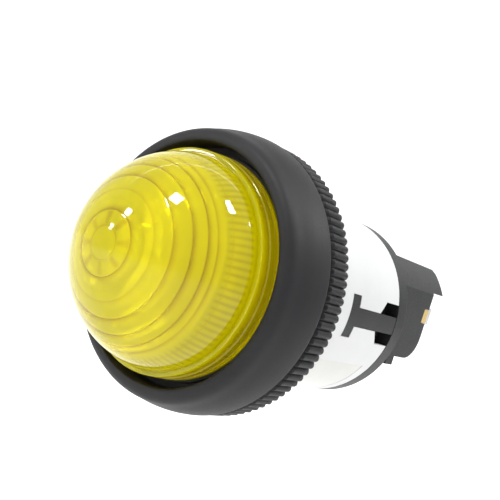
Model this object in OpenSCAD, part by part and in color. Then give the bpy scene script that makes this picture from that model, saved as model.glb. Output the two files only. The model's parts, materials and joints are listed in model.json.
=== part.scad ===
// Panel pilot light for a 30.5 mm hole.
// Frame: origin at the centre of the bezel's rear face, lens toward -Y, terminals toward +Y, +Z up.
// Every piece is drawn with its own axis along local z (front positive) and then laid along -Y.

/* [Bezel] */
// Outside diameter of the bezel at the panel
bezel_d = 40; // [36:0.5:42]
// Height of the bezel's nose ring in front of the panel
bezel_h = 7.35; // [6:0.05:9]
// Opening diameter of the nose ring
lip_d = 33.5; // [32:0.1:35]
// Outside diameter of the threaded barrel
barrel_d = 29.5; // [29:0.1:30]
// Length of the threaded barrel behind the panel face
barrel_l = 12; // [10:0.5:14]

/* [Lens] */
// Diameter of the lens shoulder
lens_d = 30.74; // [29:0.02:32]
// Height of the lens shoulder in front of the panel
shoulder_h = 8.72; // [8:0.02:9.5]
// Diameter of the dome where it leaves the shoulder
dome_d = 29.2; // [27:0.1:30]
// Height of the dome above the shoulder
dome_h = 11.6; // [9:0.1:14]
// Wall thickness of the dome over each inner ring
dome_wall = 1.7; // [1.2:0.1:2.5]

/* [Nut] */
// Diameter over the nut's teeth
nut_d = 39.86; // [38:0.02:42]
// Number of teeth round the nut
nut_teeth = 106; // [60:1:120]
// Depth of the teeth
tooth_depth = 0.55; // [0.3:0.05:1]
// Thickness of the nut
nut_t = 4.3; // [3:0.1:6]

/* [Body] */
// Outside diameter of the white body and of the terminal block's flange
body_d = 29.6; // [29:0.1:30]
// Distance from the panel face to the body's rear rim
body_end = 30.23; // [28:0.1:34]
// Wall thickness of the body
body_wall = 1.5; // [1.2:0.1:2]

/* [Terminal block] */
// Distance from the panel face to the rear of the block
block_end = 44; // [42:0.5:48]
// Distance from the panel face to the rear of the hood
hood_end = 48; // [46:0.5:52]
// Half width of the block across its flat sides
block_x = 13.1; // [12:0.1:13.5]
// Top of the block above the axis
block_top = 11.2; // [9:0.1:12]
// Bottom of the block below the axis
block_bottom = 4.9; // [4:0.1:8]

/* [Hidden] */
axis_fn = 96;
// radii
bezel_r = bezel_d / 2;
lip_r = lip_d / 2;
barrel_r = barrel_d / 2;
bore_r = 12.6;
thread_bore_r = 14.35;
seat_z = 3.6;
lens_r = lens_d / 2;
dome_r = dome_d / 2;
skirt_r = 14.2;
skirt_in_r = 12.6;
body_r = body_d / 2;
body_in = body_r - body_wall;
nut_front = -0.6;
nut_rear = nut_front - nut_t;
// latch and slots
head_front = -15.55;
head_rear = -17.96;
head_y = 3.23;
stem_y = 1.45;
mouth_y = 3.37;
gap = 0.05;
arm_in = 13.2;
// terminals
plate_z = -42.4;
plate_t = 1.2;
screw_x = 7.3;
screw_y = 2.6;
// dome outline: how far the dome stands above its base at radius r
dome_p = 1.75;
dome_q = 2.05;
function dome_rad(h) = dome_r * pow(max(0, 1 - pow(h / dome_h, dome_p)), 1 / dome_q);
function dome_z(r) = dome_h * pow(max(0, 1 - pow(r / dome_r, dome_q)), 1 / dome_p);
// inner rings of the lens, from the outside to the middle
rings = [12.6, 12.0, 10.8, 9.0, 7.0, 4.2];
function ring_z(r) = shoulder_h + dome_z(r) - dome_wall;

// lay a piece drawn along local z along the object's -Y axis
module axial() rotate([90, 0, 0]) children();

// plain ring between two heights
module ring(ro, ri, z0, z1) rotate_extrude($fn = axis_fn)
  polygon([[ri, z0], [ro, z0], [ro, z1], [ri, z1]]);

module disc(r, z0, z1) translate([0, 0, z0]) cylinder(r = r, h = z1 - z0, $fn = axis_fn);

module box(x0, x1, y0, y1, z0, z1) translate([x0, y0, z0]) cube([x1 - x0, y1 - y0, z1 - z0]);

// the same piece turned half a turn about the vertical plane through the axis
module other_side() mirror([1, 0, 0]) children();

// ---- lens ----
module lens_solid() {
  n = 26;
  dome = [for (i = [1 : n - 1]) let (h = dome_h * sin(90 * i / n)) [dome_rad(h), shoulder_h + h]];
  inner = [for (i = [len(rings) - 1 : -1 : 0])
    each (i == len(rings) - 1
      ? [[0, ring_z(rings[i]) - 0.9], [1.5, ring_z(rings[i]) - 0.78], [3, ring_z(rings[i]) - 0.42], [rings[i], ring_z(rings[i])]]
      : [[rings[i + 1], ring_z(rings[i]) - 0.25], [rings[i], ring_z(rings[i])]])];
  rotate_extrude($fn = axis_fn) polygon(concat(
    [[skirt_in_r, -2], [skirt_r - 0.3, -2], [skirt_r, -1.7], [skirt_r, 4.6],
     [15.55, 4.6], [15.55, 5.88], [15.4, 5.97], [15.47, 6.06], [15.47, 6.95], [15.3, 7.05], [lens_r, 7.15],
     [lens_r, shoulder_h - 0.12], [lens_r - 0.12, shoulder_h], [dome_r, shoulder_h]],
    dome,
    [[0, shoulder_h + dome_h]],
    inner));
}
module lens() color([0.86, 0.8, 0.04, 0.8]) axial() lens_solid();

module lens_gasket() color([0.06, 0.06, 0.06]) axial() ring(15.9, 14.5, seat_z, 4.6);

// ---- bezel ----
module bezel() color([0.2, 0.2, 0.21]) axial() rotate_extrude($fn = axis_fn) polygon([
  [bore_r, -barrel_l], [barrel_r - 0.5, -barrel_l], [barrel_r, -barrel_l + 0.5], [barrel_r, 0],
  [16.2, 0], [16.2, 1.2], [18.6, 1.2], [18.6, 0], [bezel_r - 0.15, 0], [bezel_r, 0.15], [bezel_r, 0.5],
  [19.97, 1], [19.87, 2], [19.66, 3.2], [19.4, 4.2], [19.15, 5], [18.98, 5.6], [18.84, 6.1], [18.66, 6.55],
  [18.36, 6.95], [17.9, 7.25], [17.4, bezel_h], [lip_r + 0.3, bezel_h - 0.03], [lip_r + 0.08, 7.2],
  [lip_r, 7.0], [lip_r, seat_z], [thread_bore_r, seat_z], [thread_bore_r, -3.5], [bore_r, -4.2]]);

module panel_gasket() color([0.05, 0.05, 0.05]) axial() ring(18.55, 16.25, 0, 1.2);

// ---- nut ----
module thrust_washer() color([0.1, 0.1, 0.1]) axial() ring(18.6, 15.1, -0.55, -0.05);

// tooth height across one tooth, from valley to valley
function tooth(t) = pow(max(0, sin(180 * t)), 0.55);
module mount_nut() color([0.2, 0.2, 0.21]) axial() difference() {
  translate([0, 0, nut_rear]) linear_extrude(height = nut_t) polygon([
    for (i = [0 : nut_teeth - 1], k = [0 : 4])
      let (a = (i + k / 5) * 360 / nut_teeth, r = nut_d / 2 - tooth_depth * (1 - tooth(k / 5)))
        [r * cos(a), r * sin(a)]]);
  disc(14.85, nut_rear - 1, 1);
  translate([0, 0, nut_rear - 0.01]) cylinder(r1 = 15.35, r2 = 14.85, h = 0.5, $fn = axis_fn);
}

// ---- body ----
// T-shaped slot seen from the side: y across, z along the axis
module slot_cut() {
  box(11.5, 16, -head_y, head_y, head_rear, head_front);
  box(11.5, 16, -stem_y, stem_y, -27, head_rear + 0.01);
  translate([11.5, 0, 0]) rotate([90, 0, 90]) linear_extrude(height = 4.5)
    polygon([[-mouth_y, -body_end - 1], [mouth_y, -body_end - 1], [mouth_y, -26.1], [stem_y, -24.5],
             [-stem_y, -24.5], [-mouth_y, -26.1]]);
}
// wedge that limits the label to the lower side of the body
module label_wedge(a) linear_extrude(height = 40, center = true)
  polygon([[0, 0], for (t = [-90 - a : 6 : -90 + a]) [20 * cos(t), 20 * sin(t)]]);

module body_shell() color([0.93, 0.93, 0.91]) axial() difference() {
  rotate_extrude($fn = axis_fn) polygon([
    [11.2, -8], [12.35, -8], [12.55, -8.2], [12.55, -barrel_l - 0.05], [body_r - 0.3, -barrel_l - 0.05],
    [body_r, -barrel_l - 0.35], [body_r, -body_end + 0.15], [body_r - 0.15, -body_end], [body_in, -body_end],
    [body_in, -14], [11.2, -14]]);
  slot_cut();
  other_side() slot_cut();
  intersection() { ring(16, body_r - 0.12, -27.7, -13.2); translate([0, 0, -20]) label_wedge(60); }
}

module rating_label() color([0.9, 0.9, 0.87]) axial()
  intersection() { ring(body_r - 0.02, body_r - 0.12, -27.6, -13.3); translate([0, 0, -20]) label_wedge(60); }

// ---- terminal block ----
// side outline of the block: z along the axis, y up
module block_profile() {
  r = 4;
  arc = [for (i = [0 : 8]) let (t = 90 * i / 8) [-block_bottom + r - r * cos(t), -block_end + r - r * sin(t)]];
  translate([-16, 0, 0]) rotate([90, 0, 90]) linear_extrude(height = 32)
    polygon(concat([[-block_bottom, -32]], arc,
      [[7.2, -block_end], [7.2, -hood_end], [block_top - 0.6, -hood_end], [block_top, -hood_end + 0.6], [block_top, -32]]));
}
module latch() {
  intersection() {
    union() {
      box(arm_in, 16, -stem_y + gap + 0.01, stem_y - gap - 0.01, -31, head_front - gap);
      box(arm_in, 16, -head_y + gap, head_y - gap, head_rear + gap, head_front - gap);
    }
    disc(body_r - 0.05, -32, -10);
  }
}
// room for one terminal: pocket for the plate, notch in the side wall, hole for the screw
module terminal_cut() {
  box(2.6, 11.3, -3.2, 7.2 - 0.001, -hood_end - 1, plate_z);
  box(11, 15, 1.65, 4.15, -hood_end - 1, plate_z);
  translate([screw_x, screw_y, -hood_end]) cylinder(r = 2.1, h = hood_end - 36.5, $fn = 32);
  box(3.4, 4.7, -2.2, 0.8, plate_z - 0.1, -30);
}
module terminal_block() color([0.19, 0.2, 0.2]) axial() difference() {
  union() {
    disc(body_r, -33, -body_end - 0.02);
    ring(12.4, 11.0, -31, -16.1);
    intersection() {
      block_profile();
      disc(body_r, -hood_end - 1, -32.5);
      box(-block_x, block_x, -20, 20, -60, 0);
    }
    // barrier between the two terminals
    box(-1.1, 1.1, -3.6, 7.5, -hood_end, -43.5);
    // small foot on each side under the block
    for (s = [-1, 1]) scale([s, 1, 1]) box(9.5, 12, -6.6, -block_bottom + 0.2, -38.9, -36.4);
    latch();
    other_side() latch();
  }
  terminal_cut();
  other_side() terminal_cut();
  // hollow behind the flange for the two strips
  disc(11.0, -31.5, -16);
  box(-9, 9, -3.3, 9.2, -36.5, -31);
}

// ---- terminals ----
module plate_solid() difference() {
  union() {
    box(2.7, 11.2, -3.1, 7.0, plate_z - plate_t, plate_z - 0.02);
    box(11.19, 13.0, 1.7, 4.1, plate_z - 1.8, plate_z - 0.02);
    box(10.4, 11.2, 1.7, 4.1, plate_z - 1.8, plate_z - 0.02);
    box(3.45, 4.65, -2.15, 0.75, plate_z - 0.5, -29);
  }
  translate([screw_x, screw_y, -46]) cylinder(r = 1.82, h = 8, $fn = 32);
}
module term_plate_r() color([0.83, 0.68, 0.28]) axial() plate_solid();
module term_plate_l() color([0.83, 0.68, 0.28]) axial() other_side() plate_solid();

module clamp_solid() difference() {
  union() {
    box(3.4, 10.3, -1.0, 6.2, -45.0, -44.25);
    box(10.29, 12.4, 1.5, 4.5, -45.0, -44.25);
    box(11.7, 12.4, 1.5, 4.5, -46.4, -44.9);
    box(3.4, 4.1, -1.0, 6.2, -45.0, -43.75);
    box(9.4, 10.2, -1.0, 1.4, -45.0, -43.75);
  }
  translate([screw_x, screw_y, -48]) cylinder(r = 1.95, h = 8, $fn = 32);
}
module term_clamp_r() color([0.85, 0.86, 0.87]) axial() clamp_solid();
module term_clamp_l() color([0.85, 0.86, 0.87]) axial() other_side() clamp_solid();

module screw_solid() translate([screw_x, screw_y, 0]) difference() {
  union() {
    rotate_extrude($fn = 48) polygon([[0, -47.3], [1.6, -47.25], [2.5, -46.95], [3.0, -46.3], [3.0, -45.05],
      [1.72, -45.05], [1.72, -37.4], [1.3, -37], [0, -37]]);
  }
  box(-0.4, 0.4, -2.2, 2.2, -48, -46.2);
  box(-2.2, 2.2, -0.4, 0.4, -48, -46.2);
}
module term_screw_r() color([0.82, 0.83, 0.84]) axial() screw_solid();
module term_screw_l() color([0.82, 0.83, 0.84]) axial() other_side() screw_solid();

// ---- lamp holder ----
module lamp_carrier() color([0.93, 0.93, 0.91]) axial() difference() {
  rotate_extrude($fn = axis_fn) polygon([
    [5.25, -9.5], [7, -9.5], [7, -14.05], [13.2, -14.05], [13.2, -16], [7, -16], [7, -21.6], [1.7, -21.6],
    [1.7, -20.4], [5.25, -20.4]]);
  // way out for the shell strip
  box(4.5, 7.5, -1.6, 1.6, -19, -17.4);
}

// bayonet slot: open at the front, then round to the locked place
module slot_wedge(a0, a1, z0, z1) translate([0, 0, z0]) linear_extrude(height = z1 - z0)
  polygon([[0, 0], for (i = [0 : 6]) let (t = a0 + (a1 - a0) * i / 6) [7 * cos(t), 7 * sin(t)]]);
module j_slot() {
  slot_wedge(-12.5, 12, -13, -8);
  slot_wedge(-50.5, 12.5, -14, -10.9);
}
module lamp_socket() color([0.8, 0.8, 0.78]) axial() difference() {
  ring(5.2, 4.75, -19.2, -8.6);
  j_slot();
  rotate([0, 0, 180]) j_slot();
}

module socket_insulator() color([0.35, 0.2, 0.1]) axial() ring(5.2, 1.55, -20.38, -19.2);

module centre_contact() color([0.83, 0.68, 0.28]) axial() union() {
  disc(1.45, -23.5, -16.9);
  disc(2.4, -17.0, -16.05);
}

module contact_spring() color([0.75, 0.75, 0.77]) axial() ring(2.15, 1.6, -19.18, -17.02);

module shell_strip() color([0.83, 0.68, 0.28]) axial() union() {
  box(5.21, 7.6, -1.4, 1.4, -18.6, -17.8);
  box(7.1, 7.9, -1.4, 1.4, -29.4, -17.8);
  box(4.67, 7.9, -1.4, 1.4, -30.2, -29.4);
  box(4.67, 5.4, -1.4, 0.7, -32.4, -29.4);
}
module centre_strip() color([0.83, 0.68, 0.28]) axial() difference() {
  union() {
    box(-5.4, 2.6, -1.4, 1.4, -25.4, -24.7);
    box(-5.4, -4.67, -1.4, 0.7, -32.4, -24.7);
    translate([0, 0, -24.7]) cylinder(r = 2.2, h = 2.2, $fn = 32);
  }
  translate([0, 0, -26]) cylinder(r = 1.5, h = 5, $fn = 32);
}

// ---- lamp ----
module lamp_base() color([0.8, 0.8, 0.78]) axial() rotate([0, 0, -38]) union() {
  ring(4.6, 4.2, -15.6, -6);
  for (s = [0, 180]) rotate([0, 0, s]) translate([4.35, 0, -12.0]) rotate([0, 90, 0]) cylinder(r = 0.8, h = 0.78, $fn = 24);
}
module lamp_insulator() color([0.08, 0.08, 0.1]) axial() ring(4.17, 1.22, -15.75, -14.6);
module lamp_tip() color([0.7, 0.71, 0.72]) axial() union() { disc(1.2, -15.8, -14.6); disc(1.7, -16.02, -15.75); }
module lamp_envelope() color([0.96, 0.96, 0.92]) axial() rotate_extrude($fn = 64) polygon(concat(
  [[4.19, -7.5], [4.19, -5.98], [4.9, -5.98], [4.9, 4.6]],
  [for (i = [1 : 9]) let (t = 90 * i / 9) [4.9 * cos(t), 4.6 + 4.4 * sin(t)]],
  [[0, 8.1]],
  [for (i = [8 : -1 : 0]) let (t = 90 * i / 9) [4.1 * cos(t), 4.6 + 3.5 * sin(t)]],
  [[4.1, -4.9], [3.4, -5.2], [3.4, -7.5]]));
module lamp_board() color([0.9, 0.9, 0.86]) axial() union() {
  disc(3.38, -6.9, -5.9);
  box(-2.6, 2.6, -0.5, 0.5, -5.95, 3.2);
}
module lamp_chips() color([0.98, 0.85, 0.2]) axial() for (z = [-3.6, -0.9, 1.8], s = [-1, 1])
  box(-1.3, 1.3, s > 0 ? 0.5 : -1.3, s > 0 ? 1.3 : -0.5, z - 0.9, z + 0.9);

lens();
lens_gasket();
bezel();
panel_gasket();
thrust_washer();
mount_nut();
body_shell();
rating_label();
terminal_block();
term_plate_r();
term_plate_l();
term_clamp_r();
term_clamp_l();
term_screw_r();
term_screw_l();
lamp_carrier();
lamp_socket();
socket_insulator();
centre_contact();
contact_spring();
shell_strip();
centre_strip();
lamp_base();
lamp_insulator();
lamp_tip();
lamp_envelope();
lamp_board();
lamp_chips();
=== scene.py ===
import json
import math
import bpy
import bmesh
from mathutils import Matrix, Vector


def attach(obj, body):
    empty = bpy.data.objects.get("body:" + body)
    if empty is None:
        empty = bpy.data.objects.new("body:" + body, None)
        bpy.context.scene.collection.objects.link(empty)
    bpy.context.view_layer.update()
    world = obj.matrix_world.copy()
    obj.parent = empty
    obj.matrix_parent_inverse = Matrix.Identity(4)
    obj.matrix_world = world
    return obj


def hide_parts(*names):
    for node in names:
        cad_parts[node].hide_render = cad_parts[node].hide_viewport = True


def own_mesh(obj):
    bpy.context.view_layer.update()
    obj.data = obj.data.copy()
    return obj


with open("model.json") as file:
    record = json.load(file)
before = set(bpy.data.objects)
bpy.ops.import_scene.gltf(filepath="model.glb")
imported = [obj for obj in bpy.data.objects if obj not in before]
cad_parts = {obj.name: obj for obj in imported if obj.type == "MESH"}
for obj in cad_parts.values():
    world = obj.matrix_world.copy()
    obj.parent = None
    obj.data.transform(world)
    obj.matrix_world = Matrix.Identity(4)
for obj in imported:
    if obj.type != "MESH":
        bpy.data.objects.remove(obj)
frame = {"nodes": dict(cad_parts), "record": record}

scene = bpy.context.scene
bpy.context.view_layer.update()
MM = 0.001
TAU = 2 * math.pi


# ---------- mesh helpers ----------
def link(obj):
    scene.collection.objects.link(obj)
    return obj


def place(r, a, z):
    """Cylinder coordinates about the lens axis, in mm, to the row frame in metres. z is positive to the front."""
    return Vector((r * math.cos(a) * MM, -z * MM, r * math.sin(a) * MM))


def smooth(obj, angle=35):
    me = obj.data
    bm = bmesh.new()
    bm.from_mesh(me)
    bmesh.ops.recalc_face_normals(bm, faces=bm.faces)
    lim = math.radians(angle)
    for f in bm.faces:
        f.smooth = True
    for e in bm.edges:
        if len(e.link_faces) == 2:
            e.smooth = e.calc_face_angle(0) < lim
    bm.to_mesh(me)
    bm.free()
    return obj


def lathe(name, profile, seg, shape=None, angle=35, closed=True):
    """Turns a profile of (r, z, tag) about the lens axis. shape(r, z, tag, a) moves a point round the turn."""
    verts, faces, rows = [], [], []
    for p in profile:
        r, z = p[0], p[1]
        tag = p[2] if len(p) > 2 else ""
        if r < 1e-6:
            rows.append([len(verts)])
            verts.append(place(0, 0, z))
            continue
        row = []
        for i in range(seg):
            a = TAU * i / seg
            rr, zz = shape(r, z, tag, a) if shape else (r, z)
            row.append(len(verts))
            verts.append(place(rr, a, zz))
        rows.append(row)
    n = len(rows)
    for k in range(n if closed else n - 1):
        a, b = rows[k], rows[(k + 1) % n]
        if len(a) == 1 and len(b) == 1:
            continue
        for i in range(seg):
            j = (i + 1) % seg
            if len(a) == 1:
                faces.append((a[0], b[j], b[i]))
            elif len(b) == 1:
                faces.append((a[i], a[j], b[0]))
            else:
                faces.append((a[i], a[j], b[j], b[i]))
    me = bpy.data.meshes.new(name)
    me.from_pydata(verts, [], faces)
    me.validate()
    return smooth(link(bpy.data.objects.new(name, me)), angle)


def rounded(points, steps=4):
    """Catmull-Rom curve through (r, z) points."""
    out = []
    for i in range(len(points) - 1):
        p0 = points[max(i - 1, 0)]
        p1, p2 = points[i], points[i + 1]
        p3 = points[min(i + 2, len(points) - 1)]
        for s in range(steps):
            t = s / steps
            out.append(tuple(
                0.5 * (2 * p1[k] + (p2[k] - p0[k]) * t + (2 * p0[k] - 5 * p1[k] + 4 * p2[k] - p3[k]) * t * t
                       + (3 * p1[k] - p0[k] - 3 * p2[k] + p3[k]) * t ** 3) for k in (0, 1)))
    out.append(points[-1])
    return out


def tube(name, path, radius, sides=10):
    """Round wire along a list of points in metres, closed at both ends."""
    verts, faces = [], []
    n = len(path)
    side = None
    for i, p in enumerate(path):
        t = (path[min(i + 1, n - 1)] - path[max(i - 1, 0)]).normalized()
        if side is None:
            side = t.orthogonal().normalized()
        side = (side - t * side.dot(t)).normalized()
        up = t.cross(side)
        for k in range(sides):
            a = TAU * k / sides
            verts.append(p + (side * math.cos(a) + up * math.sin(a)) * radius)
    for i in range(n - 1):
        for k in range(sides):
            m = (k + 1) % sides
            faces.append((i * sides + k, i * sides + m, (i + 1) * sides + m, (i + 1) * sides + k))
    faces.append(tuple(range(sides - 1, -1, -1)))
    faces.append(tuple((n - 1) * sides + k for k in range(sides)))
    me = bpy.data.meshes.new(name)
    me.from_pydata(verts, [], faces)
    return smooth(link(bpy.data.objects.new(name, me)), 50)


# ---------- materials ----------
def new_mat(name):
    m = bpy.data.materials.new(name)
    m.use_nodes = True
    nt = m.node_tree
    return m, nt, nt.nodes, nt.links, nt.nodes["Principled BSDF"]


def noise(nodes, links, coord, size_mm, detail=3.0, rough=0.55):
    n = nodes.new("ShaderNodeTexNoise")
    n.inputs["Scale"].default_value = 1.0 / (size_mm * MM)
    n.inputs["Detail"].default_value = detail
    n.inputs["Roughness"].default_value = rough
    links.new(coord, n.inputs["Vector"])
    return n.outputs["Fac"]


def ramp(nodes, links, fac, stops):
    r = nodes.new("ShaderNodeValToRGB")
    el = r.color_ramp.elements
    while len(el) < len(stops):
        el.new(0.5)
    for e, (p, c) in zip(el, stops):
        e.position = p
        e.color = (c[0], c[1], c[2], 1)
    links.new(fac, r.inputs["Fac"])
    return r.outputs["Color"]


def spread(nodes, links, fac, lo, hi):
    r = nodes.new("ShaderNodeMapRange")
    r.inputs["From Min"].default_value = 0.3
    r.inputs["From Max"].default_value = 0.7
    r.inputs["To Min"].default_value = lo
    r.inputs["To Max"].default_value = hi
    links.new(fac, r.inputs["Value"])
    return r.outputs["Result"]


def surface(name, c1, c2, rough, grain_mm=0.25, bump=0.2, depth_mm=0.02, blotch_mm=6.0, metallic=0.0, edge_mm=0.12,
            ior=1.5, stretch=None, coat=0.0, gloss=0.5):
    """Moulded or stamped surface: soft blotches of colour, fine grain in gloss and relief, edges broken slightly."""
    m, nt, nodes, links, bsdf = new_mat(name)
    tc = nodes.new("ShaderNodeTexCoord")
    coord = tc.outputs["Object"]
    if stretch:
        mp = nodes.new("ShaderNodeMapping")
        mp.inputs["Scale"].default_value = stretch
        links.new(coord, mp.inputs["Vector"])
        fine = mp.outputs["Vector"]
    else:
        fine = coord
    links.new(ramp(nodes, links, noise(nodes, links, coord, blotch_mm, 4.0), [(0.3, c1), (0.7, c2)]),
              bsdf.inputs["Base Color"])
    grain = noise(nodes, links, fine, grain_mm, 5.0, 0.65)
    links.new(spread(nodes, links, grain, rough[0], rough[1]), bsdf.inputs["Roughness"])
    bsdf.inputs["Metallic"].default_value = metallic
    bsdf.inputs["IOR"].default_value = ior
    bsdf.inputs["Specular IOR Level"].default_value = gloss
    bsdf.inputs["Coat Weight"].default_value = coat
    b = nodes.new("ShaderNodeBump")
    b.inputs["Strength"].default_value = bump
    b.inputs["Distance"].default_value = depth_mm * MM
    links.new(grain, b.inputs["Height"])
    if edge_mm:
        ev = nodes.new("ShaderNodeBevel")
        ev.samples = 4
        ev.inputs["Radius"].default_value = edge_mm * MM
        links.new(ev.outputs["Normal"], b.inputs["Normal"])
    links.new(b.outputs["Normal"], bsdf.inputs["Normal"])
    return m


def math_node(nodes, links, op, a, b=None, c=None, clamp=False):
    n = nodes.new("ShaderNodeMath")
    n.operation = op
    n.use_clamp = clamp
    for i, v in enumerate((a, b, c)):
        if v is None:
            continue
        if isinstance(v, (int, float)):
            n.inputs[i].default_value = v
        else:
            links.new(v, n.inputs[i])
    return n.outputs["Value"]


def lens_material():
    """Clear yellow moulding: half see-through, with painted shade at the steps of its inner rings, between its ribs,
    below its shoulder and round its bull's-eye, and a faint painted glow.
    """
    m, nt, nodes, links, bsdf = new_mat("clear_yellow")
    tc = nodes.new("ShaderNodeTexCoord")
    sep = nodes.new("ShaderNodeSeparateXYZ")
    links.new(tc.outputs["Object"], sep.inputs["Vector"])
    x, y, z = sep.outputs["X"], sep.outputs["Y"], sep.outputs["Z"]

    def mn(*args, **kw):
        return math_node(nodes, links, *args, **kw)

    r = mn("MULTIPLY", mn("SQRT", mn("ADD", mn("MULTIPLY", x, x), mn("MULTIPLY", z, z))), 1000.0)
    h = mn("MULTIPLY", y, -1000.0)
    # painted shade: a thin dark line at each ring's step, paler just outside it
    step_shade = None
    for radius, width, depth in ((2.1, 0.5, 0.5), (4.2, 1.0, 0.85), (5.7, 0.6, 0.2), (7.0, 0.8, 0.45),
                                 (9.0, 1.0, 0.85), (10.8, 0.8, 0.9), (12.05, 0.5, 0.9),
                                 (12.75, 0.4, 0.6), (13.7, 0.25, 0.35)):
        d = mn("SUBTRACT", r, radius)
        out = mn("SUBTRACT", 1.0, mn("DIVIDE", d, width), clamp=True)
        k = mn("MULTIPLY", mn("MINIMUM", mn("POWER", out, 1.6), mn("MULTIPLY_ADD", d, 8.0, 1.0, clamp=True)), depth)
        step_shade = k if step_shade is None else mn("MAXIMUM", step_shade, k)
    # the painted ring shade only shows on the dome
    on_dome = mn("MULTIPLY", mn("SUBTRACT", h, 9.6), 1.5, clamp=True)
    step_shade = mn("MULTIPLY", step_shade, on_dome)
    # painted shade: darker stripes between the ribs inside the foot of the dome
    turn = mn("ARCTAN2", z, x)
    rib = mn("MULTIPLY_ADD", mn("SINE", mn("MULTIPLY", turn, 96.0)), 0.5, 0.5)
    band = mn("MULTIPLY", mn("MULTIPLY", mn("SUBTRACT", 13.2, h), 1.2, clamp=True), mn("MULTIPLY", mn("SUBTRACT", h, 8.9), 2.5, clamp=True))
    ribs = mn("MULTIPLY", mn("MULTIPLY", rib, band), 0.5)
    # painted shade: the rim below the shoulder is darker
    rim_shade = mn("MULTIPLY", mn("MULTIPLY", mn("SUBTRACT", 8.5, h), 2.0, clamp=True), 0.6)
    # painted shade: alternate facets round the bull's-eye are darker
    petal = mn("MULTIPLY", mn("SINE", mn("MULTIPLY", turn, 8.0)), 0.5, clamp=True)
    eye = mn("MULTIPLY", mn("MULTIPLY", mn("SUBTRACT", r, 2.1), 3.0, clamp=True), mn("MULTIPLY", mn("SUBTRACT", 4.2, r), 3.0, clamp=True))
    rim_shade = mn("MAXIMUM", rim_shade, mn("MULTIPLY", mn("MULTIPLY", petal, eye), on_dome))
    soft = noise(nodes, links, tc.outputs["Object"], 6.0, 2.0)
    blot = mn("MULTIPLY", mn("SUBTRACT", soft, 0.5), 0.5)
    # painted shade of the ring steps, ribs, rim and facets, plus soft random tone, darkens the yellow through the ramp
    painted_shade_and_tone = mn("ADD", mn("MAXIMUM", mn("MAXIMUM", step_shade, ribs), rim_shade), mn("ADD", blot, 0.12), clamp=True)
    links.new(ramp(nodes, links, painted_shade_and_tone,
                   [(0.0, (0.88, 0.82, 0.002)), (0.3, (0.83, 0.76, 0.002)), (0.65, (0.66, 0.54, 0.001)),
                    (1.0, (0.44, 0.33, 0.001))]),
              bsdf.inputs["Base Color"])
    fine = noise(nodes, links, tc.outputs["Object"], 1.2, 3.0)
    links.new(spread(nodes, links, fine, 0.015, 0.03), bsdf.inputs["Roughness"])
    bsdf.inputs["IOR"].default_value = 1.46
    bsdf.inputs["Specular IOR Level"].default_value = 0.16
    bsdf.inputs["Transmission Weight"].default_value = 0.72
    # painted glow: a faint yellow emission, though the lens is no lamp
    bsdf.inputs["Emission Color"].default_value = (0.85, 0.74, 0.0, 1)
    bsdf.inputs["Emission Strength"].default_value = 0.07
    bsdf.inputs["Subsurface Weight"].default_value = 0.2
    bsdf.inputs["Subsurface Radius"].default_value = (1.0, 0.9, 0.15)
    bsdf.inputs["Subsurface Scale"].default_value = 0.002
    # the painted step shade also gives the steps a slight relief
    b = nodes.new("ShaderNodeBump")
    b.inputs["Strength"].default_value = 0.25
    b.inputs["Distance"].default_value = 0.05 * MM
    b.invert = True
    links.new(step_shade, b.inputs["Height"])
    links.new(b.outputs["Normal"], bsdf.inputs["Normal"])
    return m


M = {
    "yellow_lens": lens_material(),
    "black_plastic": surface("charcoal_moulding", (0.008, 0.008, 0.0095), (0.012, 0.012, 0.0135), (0.46, 0.6), 0.16, 0.35, 0.02, 8,
                             gloss=0.3),
    "rubber": surface("black_rubber", (0.012, 0.012, 0.012), (0.02, 0.02, 0.02), (0.7, 0.85), 0.2, 0.4, 0.02),
    "washer_plastic": surface("washer_black", (0.016, 0.016, 0.016), (0.024, 0.024, 0.024), (0.5, 0.65), 0.2, 0.3, 0.02),
    "white_plastic": surface("white_moulding", (0.58, 0.585, 0.585), (0.62, 0.625, 0.625), (0.36, 0.48), 0.2, 0.22, 0.015, 9),
    "label_film": surface("label_film", (0.54, 0.54, 0.51), (0.58, 0.58, 0.55), (0.28, 0.36), 0.35, 0.12, 0.01, 5, edge_mm=0.03),
    "block_plastic": surface("black_moulding", (0.009, 0.0095, 0.010), (0.015, 0.0155, 0.016), (0.38, 0.55), 0.22, 0.35, 0.02, 5,
                             gloss=0.33),
    "brass": surface("stamped_brass", (0.72, 0.50, 0.16), (0.82, 0.62, 0.26), (0.22, 0.38), 0.5, 0.15, 0.01, 3, 1.0,
                     stretch=(0.25, 1.0, 1.0)),
    "plated_steel": surface("zinc_plate", (0.66, 0.66, 0.66), (0.80, 0.80, 0.79), (0.2, 0.36), 0.4, 0.15, 0.01, 2.5, 1.0,
                            stretch=(1.0, 1.0, 0.3)),
    "plated_brass": surface("nickel_plate", (0.68, 0.66, 0.62), (0.78, 0.77, 0.73), (0.14, 0.26), 0.6, 0.1, 0.01, 3, 1.0),
    "insulator": surface("insulating_board", (0.10, 0.05, 0.025), (0.17, 0.09, 0.045), (0.5, 0.7), 0.3, 0.4, 0.02, 1.5),
    "milky_plastic": surface("milky_plastic", (0.80, 0.80, 0.74), (0.86, 0.86, 0.80), (0.25, 0.35), 0.4, 0.1, 0.01, 4),
    "board": surface("white_board", (0.76, 0.76, 0.70), (0.83, 0.83, 0.78), (0.35, 0.5), 0.3, 0.15, 0.01, 2),
    "led": surface("led_yellow", (0.80, 0.62, 0.08), (0.90, 0.74, 0.16), (0.15, 0.25), 0.3, 0.1, 0.01, 1),
}
for sub in frame["record"]["subparts"]:
    mesh = frame["nodes"][sub["node"]].data
    mesh.materials.clear()
    mesh.materials.append(M[sub["material_slot"]])


def dress(obj, mat, node, body):
    obj.data.materials.clear()
    obj.data.materials.append(M[mat])
    if node:
        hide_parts(node)
    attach(obj, body)
    return obj


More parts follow.
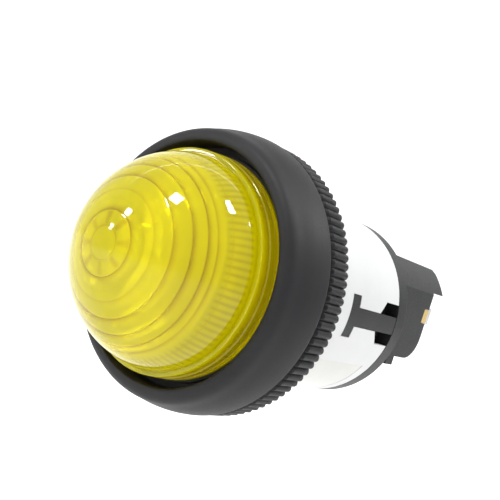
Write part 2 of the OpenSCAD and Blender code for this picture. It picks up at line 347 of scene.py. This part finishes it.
# ---------- camera ----------
cam = bpy.data.objects.new("view", bpy.data.cameras.new("view"))
link(cam)
cam.data.lens = 57.6
cam.data.sensor_width = 36
cam.data.clip_start = 0.005
cam.data.clip_end = 20
cam.data.dof.use_dof = False
right = Vector((0.74743587, 0.58812644, 0.30894484))
up = Vector((-0.2441952, -0.18926243, 0.95107751))
fwd = Vector((-0.61782548, 0.7863123, -0.00215613))
cm = Matrix.Identity(4)
for i in range(3):
    cm[i][0], cm[i][1], cm[i][2] = right[i], up[i], -fwd[i]
cm.translation = Vector((73.122, -85.494, 4.788)) * MM
cam.matrix_world = cm
scene.camera = cam

# ---------- lens ----------
dome_r, dome_h, shoulder = 14.6, 11.6, 8.72


def dome_rad(h):
    return dome_r * max(0.0, 1 - (h / dome_h) ** 1.75) ** (1 / 2.05)


def dome_z(r):
    return dome_h * max(0.0, 1 - (r / dome_r) ** 2.05) ** (1 / 1.75)


def ring_z(r):
    return shoulder + dome_z(r) - 1.7


rings = [12.6, 12.0, 10.8, 9.0, 7.0, 4.2]
outer = [(12.6, -2.0), (13.9, -2.0), (14.2, -1.7), (14.2, 4.6), (15.4, 4.6), (15.52, 4.68), (15.55, 4.8), (15.55, 5.75),
         (15.5, 5.88), (15.38, 5.92), (15.34, 5.97), (15.38, 6.03), (15.46, 6.1), (15.47, 6.9), (15.4, 6.98),
         (15.3, 7.03), (15.3, 7.07), (15.34, 7.14), (15.37, 7.25), (15.37, 8.52), (15.33, 8.64), (15.22, 8.71),
         (15.1, 8.72), (14.84, 8.72), (14.78, 8.66), (14.73, 8.5), (14.64, 8.5), (14.6, 8.62), (14.6, 8.74)]
N = 44
for i in range(1, N):
    h = dome_h * math.sin(math.pi / 2 * i / N)
    outer.append((dome_rad(h), shoulder + h))
outer.append((0.0, shoulder + dome_h))
inner = [(0.0, ring_z(4.2) - 0.9), (0.8, ring_z(4.2) - 0.87, "flute"), (1.6, ring_z(4.2) - 0.76, "flute"),
         (2.4, ring_z(4.2) - 0.58, "flute"), (3.2, ring_z(4.2) - 0.34, "flute"), (3.8, ring_z(4.2) - 0.12, "flute"),
         (4.15, ring_z(4.2) - 0.02), (4.2, ring_z(4.2))]
for k in range(len(rings) - 2, -1, -1):
    r0, r1 = rings[k + 1], rings[k]
    z0, z1 = ring_z(r1) - 0.25, ring_z(r1)
    # each ring is a shallow curved prism
    for t in (0.0, 0.06, 0.3, 0.6, 0.85, 0.97, 1.0):
        inner.append((r0 + (r1 - r0) * t, z0 + (z1 - z0) * (0.35 * t + 0.65 * t * t)))
wall_z = ring_z(12.6)
inner += [(12.6, wall_z - 0.25), (12.6, wall_z - 0.6, "rib"), (12.6, wall_z - 0.9, "ribs"), (12.6, 9.0, "ribs"),
          (12.6, 6.0, "ribs"), (12.6, 3.4, "ribs"), (12.6, 3.0, "rib"), (12.6, 2.7)]
RIBS = 96


def lens_shape(r, z, tag, a):
    if tag in ("rib", "ribs"):
        return r + (0.2 if tag == "rib" else 0.42) * (0.5 + 0.5 * math.cos(RIBS * a)), z
    if tag == "flute":
        return r, z - 0.14 * math.cos(TAU * r / 2.1)
    return r, z


lens = lathe("lens_piece", outer + inner, 768, lens_shape, 28)
dress(lens, "yellow_lens", "lens", "lens_dome")

gasket = lathe("lens_gasket_piece", rounded([(14.5, 3.75), (14.56, 3.64), (14.7, 3.6)], 3)
               + rounded([(15.7, 3.6), (15.84, 3.64), (15.9, 3.78)], 3)
               + rounded([(15.9, 4.42), (15.84, 4.56), (15.7, 4.6)], 3)
               + rounded([(14.7, 4.6), (14.56, 4.56), (14.5, 4.42)], 3), 192)
dress(gasket, "rubber", "lens_gasket", "lens_ring")

# ---------- bezel with its thread ----------
PITCH = 1.5
wall = rounded([(20.0, 0.22), (20.0, 0.5), (19.97, 1.0), (19.87, 2.0), (19.66, 3.2), (19.4, 4.2), (19.15, 5.0),
                (18.98, 5.6), (18.84, 6.1), (18.66, 6.55), (18.36, 6.95), (17.9, 7.25), (17.4, 7.35), (17.05, 7.33),
                (16.84, 7.2), (16.75, 6.95)], 3)
thread = [(14.75, -11.5 + 0.125 * i, "thread") for i in range(87)]
bez = ([(12.6, -12.0), (14.25, -12.0), (14.4, -11.9), (14.7, -11.62)] + thread
       + [(14.75, -0.5), (14.75, -0.06), (14.85, 0.0), (16.2, 0.0), (16.2, 1.2), (18.6, 1.2), (18.6, 0.0), (19.78, 0.0),
          (19.93, 0.06)]
       + wall + [(16.75, 3.6), (14.35, 3.6), (14.35, -3.5), (12.6, -4.2)])


def bezel_shape(r, z, tag, a):
    if tag == "thread":
        t = (z / PITCH + a / TAU) % 1.0
        v = abs(2 * t - 1)
        fade = min(1.0, (z + 11.5) / 0.5, (-0.75 - z) / 0.4)
        return r - 0.62 * max(0.0, fade) * min(1.0, max(0.0, 1.25 * v - 0.12)), z
    return r, z


bezel = lathe("bezel_piece", bez, 240, bezel_shape, 40)
dress(bezel, "black_plastic", "bezel", "housing")

# ---------- nut with its teeth ----------
TEETH = 106
OUT = 19.93
nut_prof = [(14.85, -0.6), (18.9, -0.6), (19.2, -0.63, "soft"), (19.45, -0.72, "half"), (OUT, -1.0, "tooth"),
            (OUT, -2.0, "tooth"), (OUT, -3.4, "tooth"), (OUT, -4.45, "tooth"), (19.5, -4.78, "half"), (19.2, -4.87, "soft"),
            (18.9, -4.9), (15.35, -4.9), (14.95, -4.5)]


def nut_shape(r, z, tag, a):
    depth = {"tooth": 0.46, "half": 0.2, "soft": 0.04}.get(tag, 0.0)
    if depth:
        t = (a * TEETH / TAU) % 1.0
        v = max(0.0, math.sin(math.pi * t)) ** 0.6
        return r - depth * (1 - v), z
    return r, z


nut = lathe("nut_piece", nut_prof, TEETH * 10, nut_shape, 50)
dress(nut, "black_plastic", "mount_nut", "nut")

washer = lathe("washer_piece", [(15.1, -0.12), (15.17, -0.05), (18.53, -0.05), (18.6, -0.12), (18.6, -0.48),
                                (18.53, -0.55), (15.17, -0.55), (15.1, -0.48)], 192)
dress(washer, "washer_plastic", "thrust_washer", "nut_washer")

# ---------- contact spring ----------
turns, wire = 4.5, 0.2
top, bottom = 17.02 + wire, 19.18 - wire
path = []
for i in range(0, 217):
    t = i / 216
    # the end turns lie flat
    lift = min(1.0, max(0.0, (t * turns - 0.75) / (turns - 1.5)))
    a = TAU * turns * t
    y = top + (bottom - top) * (0.12 * t + 0.88 * lift)
    path.append(Vector((1.92 * math.cos(a), y, 1.92 * math.sin(a))) * MM)
spring = tube("spring_piece", path, wire * MM)
dress(spring, "plated_steel", "contact_spring", "housing")
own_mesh(spring)

# ---------- floor and light ----------
verts, faces = [], []
prof = [(-1.2, 0.0), (0.9, 0.0)]
for i in range(1, 13):
    a = math.pi / 2 * i / 12
    prof.append((0.9 + 0.5 * math.sin(a), 0.5 - 0.5 * math.cos(a)))
prof.append((1.4, 2.4))
for k, (d, h) in enumerate(prof):
    for s in (-2.0, 2.0):
        base = Vector((fwd.x, fwd.y, 0)).normalized()
        side = Vector((base.y, -base.x, 0))
        verts.append(base * d + side * s + Vector((0, 0, h - 0.055)))
for k in range(len(prof) - 1):
    faces.append((2 * k, 2 * k + 1, 2 * k + 3, 2 * k + 2))
fm = bpy.data.meshes.new("floor")
fm.from_pydata(verts, [], faces)
floor = link(bpy.data.objects.new("floor", fm))
smooth(floor, 60)
m, nt, nodes, links, bsdf = new_mat("pale_floor")
tc = nodes.new("ShaderNodeTexCoord")
links.new(ramp(nodes, links, noise(nodes, links, tc.outputs["Object"], 60.0), [(0.3, (0.955, 0.955, 0.955)), (0.7, (0.97, 0.97, 0.97))]),
          bsdf.inputs["Base Color"])
bsdf.inputs["Roughness"].default_value = 0.9
fm.materials.append(m)


def area(name, direction, distance, size, power, target=(0, 0, 0), size_y=None):
    d = bpy.data.lights.new(name, "AREA")
    d.shape = "RECTANGLE"
    d.size = size
    d.size_y = size_y or size
    d.energy = power
    o = link(bpy.data.objects.new(name, d))
    v = Vector(direction).normalized()
    o.location = Vector(target) + v * distance
    o.rotation_euler = v.to_track_quat("Z", "Y").to_euler()
    return o


area("key", (-0.04, -0.58, 0.81), 0.42, 0.075, 0.85)
area("window_left", (-0.54, -0.75, 0.38), 0.45, 0.05, 0.4)
area("window_top", (0.41, 0.11, 0.9), 0.45, 0.05, 0.6, size_y=0.1)
area("window_rear", (0.47, 0.58, 0.66), 0.45, 0.07, 0.5)
area("window_low", (-0.4, -0.89, -0.21), 0.45, 0.045, 0.3)
area("window_low_2", (-0.07, -0.98, -0.18), 0.45, 0.045, 0.3)
area("window_mid", (-0.68, -0.72, 0.14), 0.45, 0.03, 0.08)
# lights the backdrop only: it stands behind the object and faces away from it
flat = Vector((fwd.x, fwd.y, 0)).normalized()
away = bpy.data.lights.new("backdrop_light", "AREA")
away.shape = "RECTANGLE"
away.size, away.size_y, away.energy = 1.6, 0.5, 9.0
ao = link(bpy.data.objects.new("backdrop_light", away))
ao.location = flat * 0.3 + Vector((0, 0, 0.62))
ao.rotation_euler = (-(flat * 0.8 + Vector((0, 0, -0.45)))).to_track_quat("Z", "Y").to_euler()

world = bpy.data.worlds.new("studio")
scene.world = world
world.use_nodes = True
bg = world.node_tree.nodes["Background"]
bg.inputs["Color"].default_value = (1.0, 1.0, 1.0, 1)
bg.inputs["Strength"].default_value = 0.8
scene.view_settings.view_transform = "Standard"
